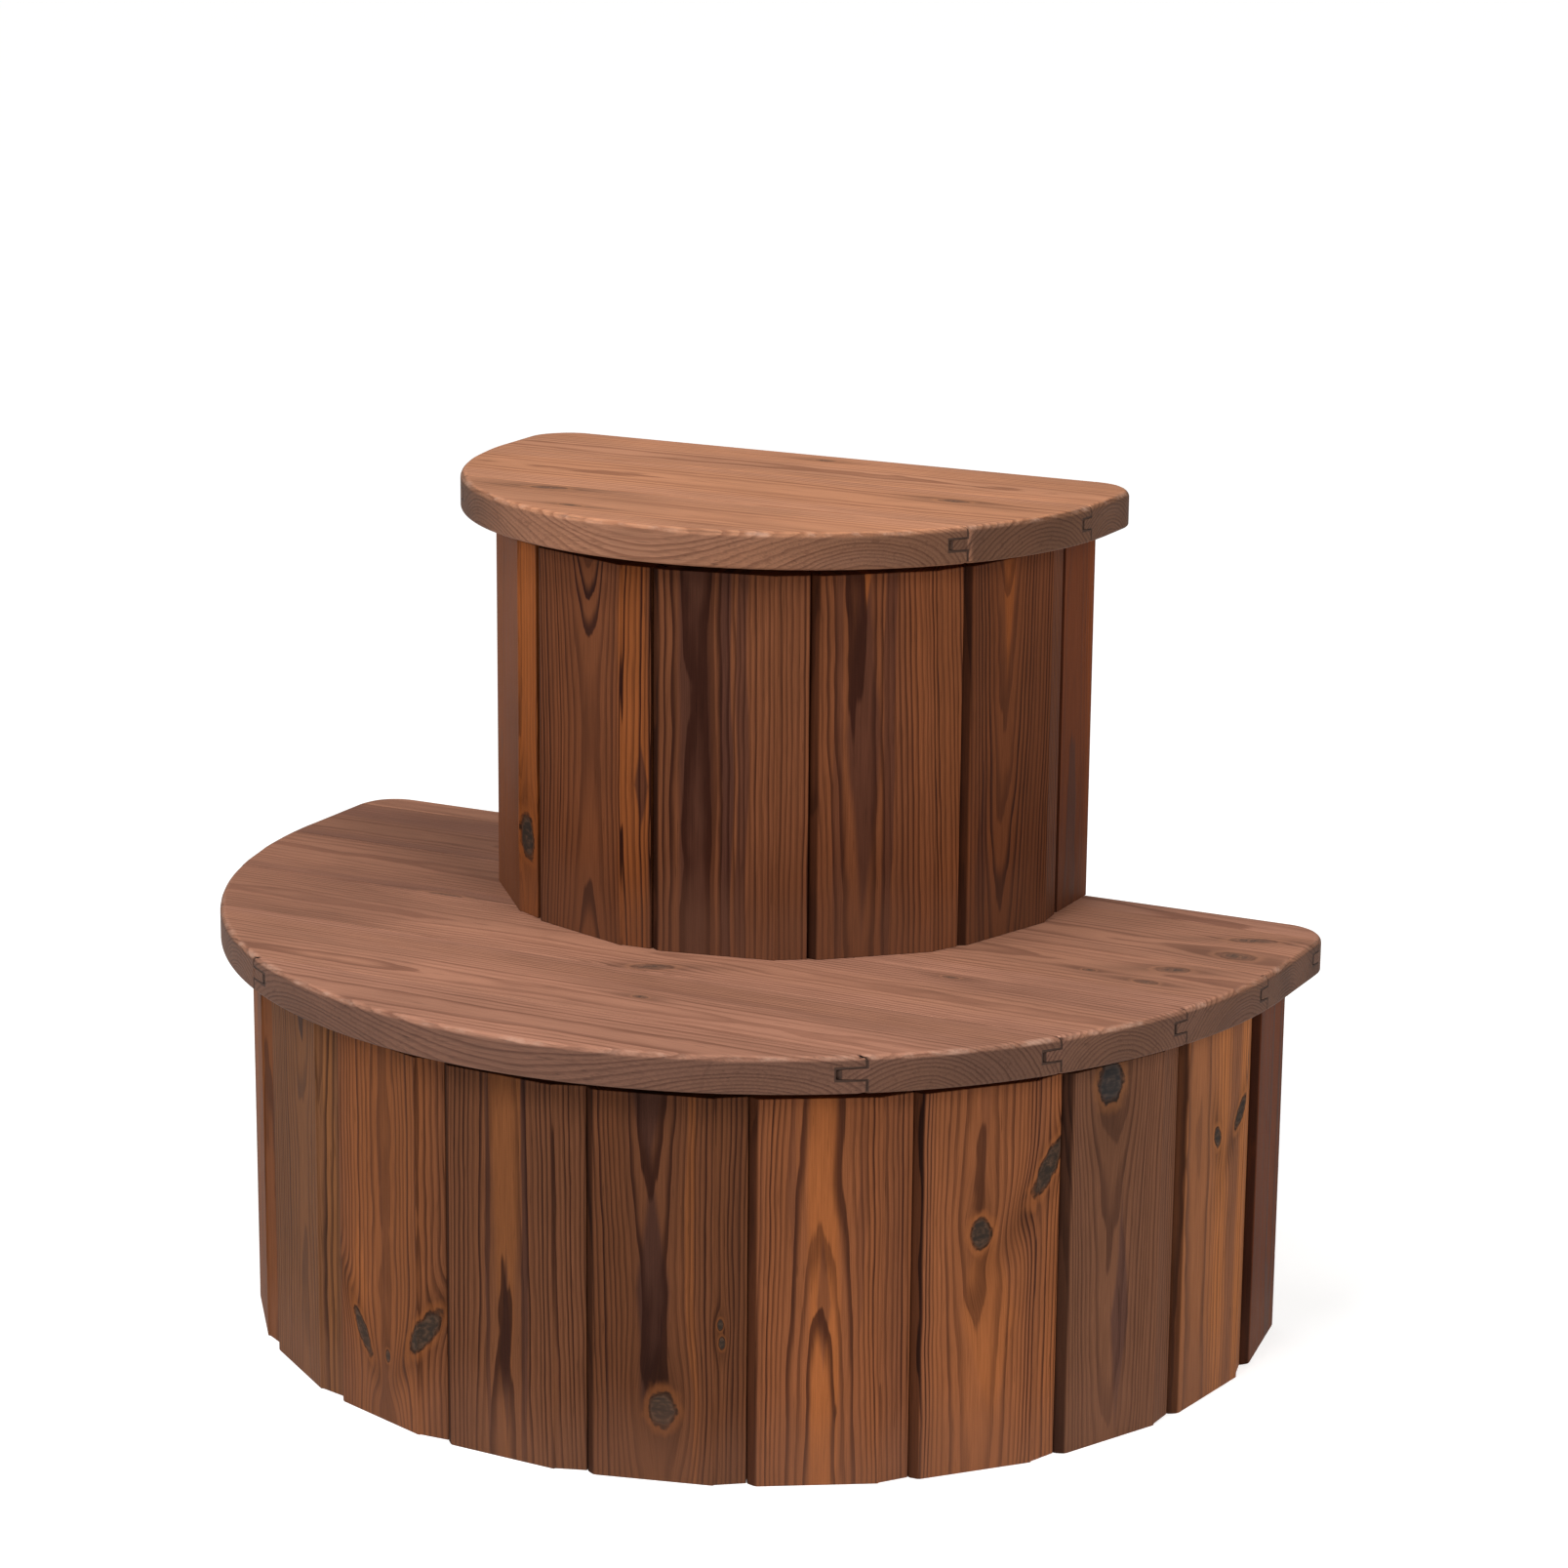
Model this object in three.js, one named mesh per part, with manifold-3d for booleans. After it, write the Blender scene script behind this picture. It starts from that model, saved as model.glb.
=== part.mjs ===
// Two-tread spa steps: two D-shaped modules of upright tongued staves, each closed by a planked tread.
// Millimetres, +Z up. The origin is the centre of the footprint box at floor level, +Y is the side
// that stands against the tub, and the treads' straight back edges lie in the plane y = BACK_Y.
import * as THREE from "three";
import { mergeVertices } from "three/addons/utils/BufferGeometryUtils.js";
import Module from "manifold-3d";

const wasm = await Module();
wasm.setup();

// Driving dimensions
const RISE = 310; // floor to lower tread, and lower tread to upper tread
const PLANK = 26; // thickness of every stave and tread board
const SHADOW_GAP = 10; // open line between the stave tops and the tread
const GAP = 0.3; // clearance between touching pieces
const PLY = 18; // thickness of the D-shaped formers
const FORMER_LIFT = 12; // floor to the underside of a bottom former
const FORMER_BAND = 55; // width of a former's curved band
const BACK_RAIL = 45; // depth of a former's straight back bar
const POST = 45; // side of a square post
const BATTEN = { width: 70, thickness: 22 };
const LOWER_DEPTH = 506;
const BACK_Y = LOWER_DEPTH / 2;
const TRIM_Y = BACK_Y - 2; // side staves and formers end just inside the treads' back edge

// The stave section, seen from above: a bevel on its left edge, a flat face, a small quirk and a
// sloping strip that runs down to the next stave. The tongue leaves the right edge.
const STAVE = { bevel: 5.5, stripRun: 20.2, stripDrop: 9.4, quirk: 1.5 };
const STAVE_TONGUE = { top: 16, bottom: 21.5, length: 6, root: 3 };

// The tread joint, seen from the end: the board behind has the tongue, the one in front the groove.
const TREAD_TONGUE = { top: 8, bottom: 16.5, taper: 1.2, length: 10.5 };
const TREAD_CHAMFER = { above: 0.6, below: 2 };

// Each module: tread half width, how far its arc's centre stands in front of the back edge, corner
// radius, distance from that centre to the stave faces, angle per stave and how far a stave's face
// normal is turned on from its left seam. joints are the distances of the board joints from the back.
// treadX and bodyX are how far the tread, and the staves with their frame, sit right of the middle.
const LOWER = {
  name: "lower",
  floor: 0,
  half: 405,
  treadX: 0,
  bodyX: 0,
  setback: 101,
  corner: 33,
  face: 380.8,
  step: 16.72,
  turn: 6.5,
  staves: 13,
  joints: [32, 131, 231, 330, 428],
  battens: [-205, 0, 205],
  postAngle: 52,
};
const UPPER = {
  name: "upper",
  floor: RISE,
  half: 246,
  treadX: 1.5,
  bodyX: -3,
  setback: 66,
  corner: 35,
  face: 213.3,
  step: 30.4,
  turn: 11.9,
  staves: 6,
  joints: [93, 207],
  battens: [-75, 75],
  postAngle: 45,
};
const SIDE_FACE = 214.5; // half width over the upper module's two straight side staves
const ARC_STEPS = 96; // straight pieces in a half circle
const FAR = 1000; // longer than any piece

const COLOURS = { stave: 0x7d4527, tread: 0xa36a4b, plywood: 0xb98f62, batten: 0x8a5435, steel: 0xb9bcc0 };
const ROUGHNESS = { stave: 0.6, tread: 0.65, plywood: 0.8, batten: 0.75, steel: 0.35 };

const rad = THREE.MathUtils.degToRad;
const root = new THREE.Group();

// Solids ------------------------------------------------------------------------------------------

function solidOf(geometry) {
  const bare = geometry.clone();
  bare.deleteAttribute("normal");
  bare.deleteAttribute("uv");
  const merged = mergeVertices(bare, 1e-4);
  return new wasm.Manifold(
    new wasm.Mesh({
      numProp: 3,
      vertProperties: merged.attributes.position.array,
      triVerts: new Uint32Array(merged.index.array),
    }),
  );
}

function geometryOf(solid) {
  const mesh = solid.getMesh();
  return new THREE.BufferGeometry()
    .setAttribute("position", new THREE.BufferAttribute(new Float32Array(mesh.vertProperties), 3))
    .setIndex(new THREE.BufferAttribute(new Uint32Array(mesh.triVerts), 1));
}

// An upright prism: outline points [x, y], from z0 to z1.
function prism(outline, z0, z1) {
  const shape = new THREE.Shape(outline.map(([x, y]) => new THREE.Vector2(x, y)));
  const geometry = new THREE.ExtrudeGeometry(shape, { depth: z1 - z0, bevelEnabled: false });
  return solidOf(geometry.translate(0, 0, z0));
}

function box(x0, x1, y0, y1, z0, z1) {
  const geometry = new THREE.BoxGeometry(x1 - x0, y1 - y0, z1 - z0);
  return solidOf(geometry.translate((x0 + x1) / 2, (y0 + y1) / 2, (z0 + z1) / 2));
}

function cylinder(x, y, radius, z0, z1) {
  const geometry = new THREE.CylinderGeometry(radius, radius, z1 - z0, 16).rotateX(Math.PI / 2);
  return solidOf(geometry.translate(x, y, (z0 + z1) / 2));
}

function add(name, finish, solid) {
  const material = new THREE.MeshStandardMaterial({
    color: COLOURS[finish],
    roughness: ROUGHNESS[finish],
    metalness: finish === "steel" ? 1 : 0,
  });
  const mesh = new THREE.Mesh(geometryOf(solid), material);
  mesh.name = name;
  root.add(mesh);
}

const numbered = (name, i) => `${name}_${String(i + 1).padStart(2, "0")}`;

// Outlines ----------------------------------------------------------------------------------------

// Points on a circle about (cx, cy), from one angle to another, in degrees from -Y towards +X.
function arc(cx, cy, radius, from, to) {
  const steps = Math.max(2, Math.round((Math.abs(to - from) / 180) * ARC_STEPS));
  return Array.from({ length: steps + 1 }, (_, i) => {
    const a = rad(from + ((to - from) * i) / steps);
    return [cx + radius * Math.sin(a), cy - radius * Math.cos(a)];
  });
}

const centreY = (m) => BACK_Y - m.setback;
const treadUnderside = (m) => m.floor + RISE - PLANK;

// Half circle, straight sides, rounded back corners.
function treadOutline(m) {
  const inset = m.half - m.corner;
  const cornerY = BACK_Y - m.corner;
  return [
    ...arc(m.treadX, centreY(m), m.half, -90, 90),
    ...arc(m.treadX + inset, cornerY, m.corner, 90, 180),
    ...arc(m.treadX - inset, cornerY, m.corner, 180, 270),
  ];
}

// The D that the staves stand round, inset from them and cut off straight at backY. The upper one has
// straight sides, the lower one is all arc.
function formerOutline(m, inset, backY) {
  const radius = m.face - PLANK - GAP - inset;
  if (m === UPPER) {
    const side = SIDE_FACE - PLANK - GAP - inset;
    const front = arc(m.bodyX, centreY(m), radius, -88, 88);
    return [[m.bodyX - side, backY], ...front, [m.bodyX + side, backY]];
  }
  const end = 90 + THREE.MathUtils.radToDeg(Math.asin((backY - centreY(m)) / radius));
  return arc(m.bodyX, centreY(m), radius, -end, end);
}

// Staves ------------------------------------------------------------------------------------------

// One stave. Its face lies `face` from the body's centre at the angle `normal`; its edges follow the
// radial seams at the angles `left` and `right`. Local u runs to the right along the face, v outwards.
function staveFrame(m, face, normal) {
  const n = rad(normal);
  const out = [Math.sin(n), -Math.cos(n)];
  const along = [Math.cos(n), Math.sin(n)];
  return (u, v) => [
    m.bodyX + (face + v) * out[0] + u * along[0],
    centreY(m) + (face + v) * out[1] + u * along[1],
  ];
}

const seamU = (s, seam, v) => (s.face + v) * Math.tan(rad(seam - s.normal));

function staveOutline(s) {
  const { bevel, stripRun, stripDrop, quirk } = STAVE;
  const leftU = (v) => seamU(s, s.left, v) + GAP / 2;
  const rightU = (v) => seamU(s, s.right, v) - GAP / 2;
  const stripEnd = rightU(-stripDrop);
  const { top, bottom, length } = STAVE_TONGUE;
  return [
    [leftU(-PLANK), -PLANK],
    [rightU(-PLANK), -PLANK],
    [rightU(-bottom), -bottom],
    [rightU(-bottom) + length, -bottom + 0.5],
    [rightU(-top) + length, -top - 0.5],
    [rightU(-top), -top],
    [stripEnd, -stripDrop],
    [stripEnd - stripRun, -quirk],
    [stripEnd - stripRun - quirk / 2, 0],
    [leftU(-bevel) + bevel, 0],
    [leftU(-bevel), -bevel],
  ];
}

// The room that the tongue of the stave on the left needs in this one.
function tongueRoom(s) {
  const slack = 2 * GAP;
  const { top, bottom, length, root: rootDepth } = STAVE_TONGUE;
  const start = seamU(s, s.right, -bottom) - rootDepth;
  const end = seamU(s, s.right, -top) + length + slack;
  return [
    [start, -bottom - slack],
    [end, -bottom - slack],
    [end, -top + slack],
    [start, -top + slack],
  ];
}

function staveList(m) {
  const first = (-m.step * m.staves) / 2;
  const list = Array.from({ length: m.staves }, (_, i) => {
    const left = first + i * m.step;
    return { face: m.face, left, right: left + m.step, normal: left + m.turn };
  });
  if (m === UPPER) {
    const seam = -first;
    list.unshift({ face: SIDE_FACE, left: -seam - 40, right: -seam, normal: -90 });
    list.push({ face: SIDE_FACE, left: seam, right: seam + 40, normal: 90 });
  }
  return list;
}

function addStaves(m) {
  const z0 = m.floor;
  const z1 = treadUnderside(m) - SHADOW_GAP;
  const list = staveList(m);
  const front = box(-FAR, FAR, -FAR, TRIM_Y, z0 - 1, z1 + 1);
  list.forEach((s, i) => {
    const toPart = staveFrame(m, s.face, s.normal);
    const outline = staveOutline(s).map(([u, v]) => toPart(u, v));
    let solid = prism(outline, z0, z1).intersect(front);
    if (i > 0) {
      const before = list[i - 1];
      const fromPart = staveFrame(m, before.face, before.normal);
      const room = tongueRoom(before).map(([u, v]) => fromPart(u, v));
      solid = solid.subtract(prism(room, z0 - 1, z1 + 1));
    }
    add(numbered(`${m.name}_stave`, i), "stave", solid);
  });
}

// Treads ------------------------------------------------------------------------------------------

// A board's section in y and z, from the joint behind it (y1) to the joint in front of it (y0). The
// board behind reaches forward with its tongue, so a board has its tongue at y0 and its groove at y1.
function boardSection(y0, y1, under, hasTongue, hasGroove) {
  const top = under + PLANK;
  const { above, below } = TREAD_CHAMFER;
  const tongue = (y, length, slack) => [
    [y, top - TREAD_TONGUE.bottom - slack],
    [y - length, top - TREAD_TONGUE.bottom + TREAD_TONGUE.taper - slack],
    [y - length, top - TREAD_TONGUE.top - TREAD_TONGUE.taper + slack],
    [y, top - TREAD_TONGUE.top + slack],
  ];
  const frontEdge = [
    [y0, top - above],
    ...(hasTongue ? tongue(y0, TREAD_TONGUE.length, 0).reverse() : []),
    [y0, under + below],
  ];
  const backEdge = [
    [y1, under + below],
    ...(hasGroove ? tongue(y1, TREAD_TONGUE.length + 1, GAP) : []),
    [y1, top - above],
  ];
  return [
    [y0 + above, top],
    ...frontEdge,
    [y0 + below, under],
    [y1 - below, under],
    ...backEdge,
    [y1 - above, top],
  ];
}

// A section in y and z drawn out along X.
function bar(section, x0, x1) {
  const shape = new THREE.Shape(section.map(([y, z]) => new THREE.Vector2(y, z)));
  const geometry = new THREE.ExtrudeGeometry(shape, { depth: x1 - x0, bevelEnabled: false });
  const yzToPart = new THREE.Matrix4().makeBasis(
    new THREE.Vector3(0, 1, 0),
    new THREE.Vector3(0, 0, 1),
    new THREE.Vector3(1, 0, 0),
  );
  return solidOf(geometry.applyMatrix4(yzToPart).translate(x0, 0, 0));
}

function addTread(m, holes) {
  const under = treadUnderside(m);
  const outline = prism(treadOutline(m), under, under + PLANK);
  const edges = [0, ...m.joints, FAR].map((d) => BACK_Y - d);
  const boards = edges.length - 1;
  for (let i = 0; i < boards; i += 1) {
    const [isBack, isFront] = [i === 0, i === boards - 1];
    const y1 = isBack ? BACK_Y + FAR : edges[i] - GAP / 2;
    const y0 = isFront ? edges[i + 1] : edges[i + 1] + GAP / 2;
    const section = boardSection(y0, y1, under, !isFront, !isBack);
    const solid = bar(section, -FAR, FAR).intersect(outline);
    add(numbered(`${m.name}_tread_board`, i), "tread", holes.reduce((s, h) => s.subtract(h), solid));
  }
}

// Frame -------------------------------------------------------------------------------------------

function former(m, z0) {
  const opening = prism(formerOutline(m, FORMER_BAND, TRIM_Y - BACK_RAIL), z0 - 1, z0 + PLY + 1);
  return prism(formerOutline(m, 0, TRIM_Y), z0, z0 + PLY).subtract(opening);
}

const topFormerZ = (m) => treadUnderside(m) - GAP - PLY;
const bottomFormerZ = (m) => m.floor + (m === UPPER ? GAP : FORMER_LIFT);

function addFormers(m, holes) {
  const bottom = holes.reduce((s, h) => s.subtract(h), former(m, bottomFormerZ(m)));
  add(`${m.name}_bottom_former`, "plywood", bottom);
  add(`${m.name}_top_former`, "plywood", former(m, topFormerZ(m)));
}

function post(x, y, z0, z1, turn) {
  const geometry = new THREE.BoxGeometry(POST, POST, z1 - z0).rotateZ(rad(turn));
  return solidOf(geometry.translate(x, y, (z0 + z1) / 2));
}

function addPosts(m) {
  const z0 = bottomFormerZ(m) + PLY + GAP;
  const z1 = topFormerZ(m) - GAP;
  const radius = m.face - PLANK - POST / 2 - 4;
  const backY = TRIM_Y - BACK_RAIL / 2;
  const backX = m === UPPER ? SIDE_FACE - PLANK - POST / 2 - 4 : radius - BACK_RAIL / 2;
  for (const [side, sign] of [["left", -1], ["right", 1]]) {
    const a = rad(m.postAngle);
    const [x, y] = [m.bodyX + sign * radius * Math.sin(a), centreY(m) - radius * Math.cos(a)];
    add(`${m.name}_front_post_${side}`, "batten", post(x, y, z0, z1, sign * m.postAngle));
    add(`${m.name}_back_post_${side}`, "batten", post(m.bodyX + sign * backX, backY, z0, z1, 0));
  }
}

// Battens run front to back under the tread boards, inside the top former's opening.
function addBattens(m) {
  const z1 = treadUnderside(m) - GAP;
  const inner = m.face - PLANK - GAP - FORMER_BAND;
  const y1 = TRIM_Y - BACK_RAIL - GAP;
  m.battens.forEach((x, i) => {
    const reach = Math.sqrt(inner ** 2 - (Math.abs(x) + BATTEN.width / 2) ** 2);
    const [x0, x1] = [m.bodyX + x - BATTEN.width / 2, m.bodyX + x + BATTEN.width / 2];
    const solid = box(x0, x1, centreY(m) - reach + 2, y1, z1 - BATTEN.thickness, z1);
    add(numbered(`${m.name}_tread_batten`, i), "batten", solid);
  });
}

// Four screws come up through the lower tread into the upper module's bottom former.
const SCREW = { shank: 2.5, head: 5, headHeight: 3, hole: 2.9, bite: 14 };
const SCREW_PLACES = [-1, 1].flatMap((side) => [
  [side * 110, centreY(UPPER) - 110],
  [side * 150, centreY(UPPER)],
]);

function screwHoles() {
  const z0 = treadUnderside(LOWER) - 1;
  return SCREW_PLACES.map(([x, y]) => cylinder(x, y, SCREW.hole, z0, RISE + GAP + SCREW.bite + 1));
}

function addScrews() {
  const under = treadUnderside(LOWER) - GAP;
  SCREW_PLACES.forEach(([x, y], i) => {
    const head = cylinder(x, y, SCREW.head, under - SCREW.headHeight, under);
    const shank = cylinder(x, y, SCREW.shank, under - 1, RISE + GAP + SCREW.bite);
    add(numbered("module_screw", i), "steel", head.add(shank));
  });
}

// Assembly ----------------------------------------------------------------------------------------

for (const m of [LOWER, UPPER]) {
  const holes = screwHoles();
  addStaves(m);
  addTread(m, m === LOWER ? holes : []);
  addFormers(m, m === UPPER ? holes : []);
  addPosts(m);
  addBattens(m);
}
addScrews();

export default root;
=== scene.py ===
"""Two-tread spa steps in oiled heat-treated pine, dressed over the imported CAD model.

Every board is the CAD solid with its edges eased, in a frame of its own: x across the board, y into
its thickness from the show face, z along the grain. The timber shader grows annual rings round a pith
axis in that frame, so face grain, edge grain and end grain all come from one solid pattern.
"""

import math
import random

import bmesh
import bpy
from mathutils import Matrix, Vector, noise


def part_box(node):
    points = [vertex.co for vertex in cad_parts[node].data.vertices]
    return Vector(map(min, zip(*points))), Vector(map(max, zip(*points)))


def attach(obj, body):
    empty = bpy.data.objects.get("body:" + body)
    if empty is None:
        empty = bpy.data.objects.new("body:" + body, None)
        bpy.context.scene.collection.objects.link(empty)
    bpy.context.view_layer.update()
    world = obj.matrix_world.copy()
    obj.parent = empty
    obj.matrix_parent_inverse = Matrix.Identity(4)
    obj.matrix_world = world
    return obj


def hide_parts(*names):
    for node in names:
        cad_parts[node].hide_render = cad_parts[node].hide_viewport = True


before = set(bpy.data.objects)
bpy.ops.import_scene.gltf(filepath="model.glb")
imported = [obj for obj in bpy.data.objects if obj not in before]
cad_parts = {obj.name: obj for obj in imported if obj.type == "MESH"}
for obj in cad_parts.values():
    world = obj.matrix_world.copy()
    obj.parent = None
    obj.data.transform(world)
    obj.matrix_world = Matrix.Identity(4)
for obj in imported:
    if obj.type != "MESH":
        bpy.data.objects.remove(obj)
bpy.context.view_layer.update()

MM = 0.001
WELD = 1e-5  # vertices closer than this (m) are joined
FAR = 1.0  # further than any edge of a tread

# Sizes shared with the CAD model, in metres.
RISE = 0.310
PLANK = 0.026
BACK_Y = 0.253

# Each module: its tread's half width and corner radius, how far its tread and its body stand right of
# the middle, the centre of its arc, the distance from there to the stave faces, the angle per stave,
# how far a stave's face is turned on from its left seam, and its tread's joints from the back edge.
LOWER = {
    "name": "lower",
    "floor": 0.0,
    "half": 0.405,
    "tread_x": 0.0,
    "body_x": 0.0,
    "centre_y": BACK_Y - 0.101,
    "corner": 0.033,
    "face": 0.3808,
    "step": 16.72,
    "turn": 6.5,
    "staves": 13,
    "joints": (0.032, 0.131, 0.231, 0.330, 0.428),
}
UPPER = {
    "name": "upper",
    "floor": RISE,
    "half": 0.246,
    "tread_x": 0.0015,
    "body_x": -0.003,
    "centre_y": BACK_Y - 0.066,
    "corner": 0.035,
    "face": 0.2133,
    "step": 30.4,
    "turn": 11.9,
    "staves": 8,
    "joints": (0.093, 0.207),
}
SIDE_FACE = 0.2145  # half width over the upper module's two straight side staves

# A tread board's tongue and the groove that takes it, by depth under the top, and how long each is.
TONGUE = {"top": 0.00875, "bottom": 0.01575, "length": 0.00945}
GROOVE = {"top": 0.00705, "bottom": 0.01745, "length": 0.01235}

# How round the edges are: a stave's bevel, any arris of a stave, of a frame piece, and a tread's rim.
BEVEL_ROUND = 0.0019
STAVE_ARRIS = 0.0006
FRAME_ARRIS = 0.0012
RIM_ROUND = {"upper": 0.0048, "lower": 0.0022, "wear": 0.0016, "steps": 6}

# Where the camera stands (m) and how it is turned (degrees), and its lens.
CAMERA = {"at": (1.3739, -2.5362, 1.1564), "yaw": 26.79, "pitch": 14.204, "roll": 0.545}
LENS = {"mm": 97.0, "shift": (-0.0049, -0.0014)}

# How bright the surround and the floor's own glow are, and the lights.
SURROUND = 0.30
FLOOR_GLOW = 0.55
SUN = {"from": (-0.12, -0.60, 0.79), "strength": 1.1, "spread": 18}
LIGHT_COLOUR = (1.0, 0.985, 0.97)
BOX_LIGHTS = {
    "left box": {"at": (-1.6, -1.9, 1.8), "aim": (0.0, 0.0, 0.4), "size": 0.9, "watts": 34},
    "right box": {"at": (2.2, -1.1, 1.7), "aim": (0.1, 0.0, 0.4), "size": 1.1, "watts": 36},
    "overhead box": {"at": (0.15, -0.25, 1.7), "aim": (0.1, -0.1, 0.4), "size": 0.5, "watts": 5},
}

# Linear base colours. Early and late are the two halves of a year's ring, warm and deep are the
# bands of orange and dark wood, heart is the middle of a knot, rim is how black its outline is and
# edge where it starts to fade out, from 0 at its centre to 1 at its rim.
STAVE_TONES = {
    "early": (0.128, 0.044, 0.017),
    "late": (0.025, 0.0070, 0.0034),
    "warm": (0.218, 0.068, 0.018),
    "deep": (0.055, 0.0210, 0.0125),
    "heart": (0.024, 0.017, 0.013),
    "rim": 0.85,
    "edge": 0.70,
}
LOWER_TREAD_TONES = {
    "early": (0.340, 0.160, 0.103),
    "late": (0.180, 0.075, 0.046),
    "warm": (0.370, 0.168, 0.094),
    "deep": (0.215, 0.098, 0.066),
    "heart": (0.080, 0.048, 0.035),
    "rim": 0.30,
    "edge": 0.15,
}
UPPER_TREAD_TONES = {
    "early": (0.440, 0.205, 0.115),
    "late": (0.230, 0.090, 0.046),
    "warm": (0.460, 0.194, 0.090),
    "deep": (0.260, 0.110, 0.066),
    "heart": (0.090, 0.050, 0.034),
    "rim": 0.30,
    "edge": 0.15,
}
# How much darker a tread is on its rim than on its top, and again on its end grain: partly browner wood,
# partly painted shade set for how the light falls on each module.
RIM_BROWN_AND_PAINTED_SHADE = {"lower": (0.35, 0.35, 0.355), "upper": (0.48, 0.48, 0.50)}
END_GRAIN_BROWN_AND_PAINTED_SHADE = {"lower": (0.84, 0.84, 0.80), "upper": (0.46, 0.46, 0.45)}
# How much darker a stave is painted on the bevel of its left joint: painted shade, for a bevel that faces
# left, away from the light.
LEFT_BEVEL_PAINTED_SHADE = (0.33, 0.30, 0.30)
FRAME_TONES = {
    "early": (0.330, 0.165, 0.083),
    "late": (0.150, 0.062, 0.030),
    "warm": (0.400, 0.190, 0.085),
    "deep": (0.170, 0.080, 0.048),
    "heart": (0.060, 0.033, 0.020),
    "rim": 0.7,
    "edge": 0.70,
}

# The greyed foot of a stave, the painted shade inside a tread joint, a worn rim, a knot's outline, and what
# a greyed board is multiplied by.
FOOT_TONE = (0.155, 0.070, 0.043)
JOINT_PAINTED_SHADE = (0.030, 0.016, 0.011)
WORN_TONE = (0.50, 0.32, 0.24)
KNOT_RIM_TONE = (0.014, 0.008, 0.005)
GREYING = (0.78, 1.08, 1.50)
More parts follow.
